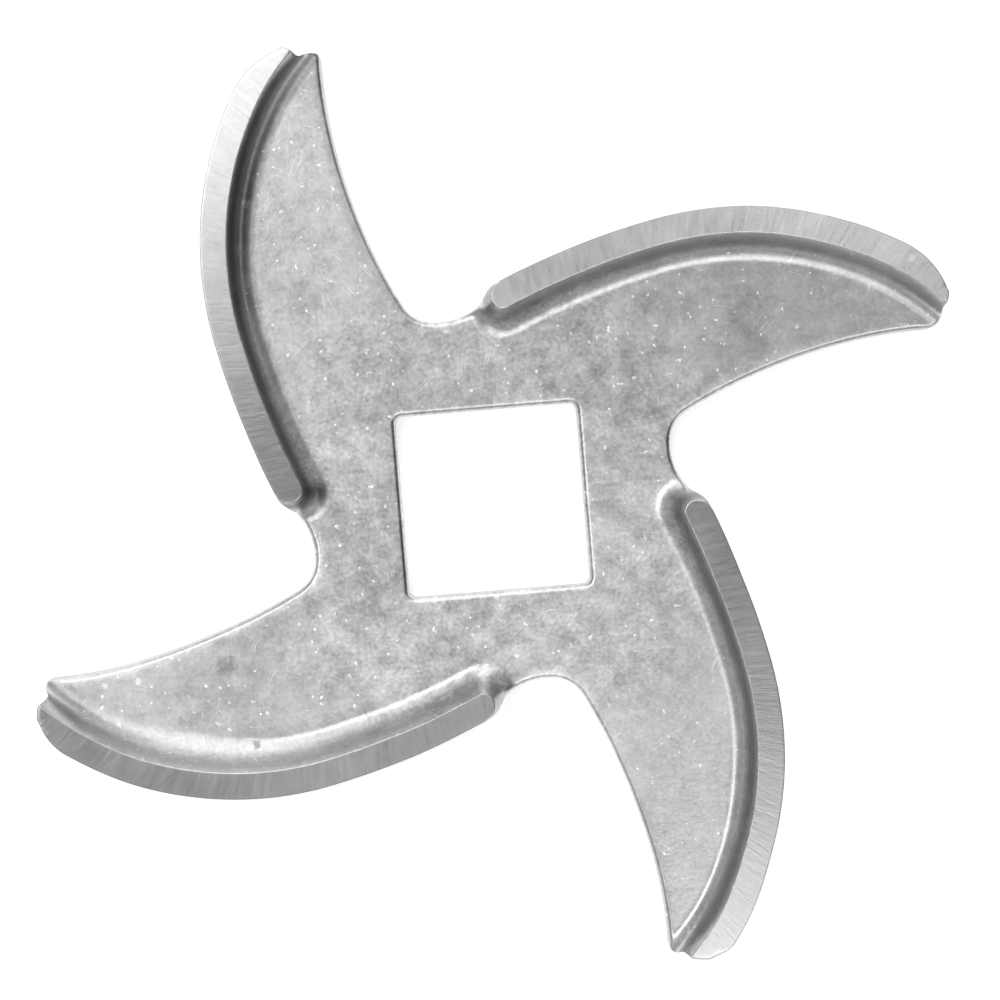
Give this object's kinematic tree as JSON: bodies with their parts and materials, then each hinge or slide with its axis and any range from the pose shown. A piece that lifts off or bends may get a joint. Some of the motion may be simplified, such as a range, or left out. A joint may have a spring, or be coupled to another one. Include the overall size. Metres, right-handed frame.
{
  "type": "meat grinder knife",
  "caption": "Flat cutter pressed from stainless sheet, with swept arms, raised and ground leading edges, and a square hole that fits on a meat grinder's feed screw.",
  "frame": {"origin": "on the knife's axis, at the centre of the square hole, in the plane of the underside", "axes": "+Z along the axis towards the cutting side; X and Y along the sides of the square hole"},
  "size_m": [0.044, 0.044, 0.0033],
  "materials": {
    "stainless_steel": "bare stainless sheet, tumbled to a fine mottle, with ground bands on the cutting side"
  },
  "bodies": {
    "root": {"knife": "stainless_steel"}
  },
  "joints": []
}
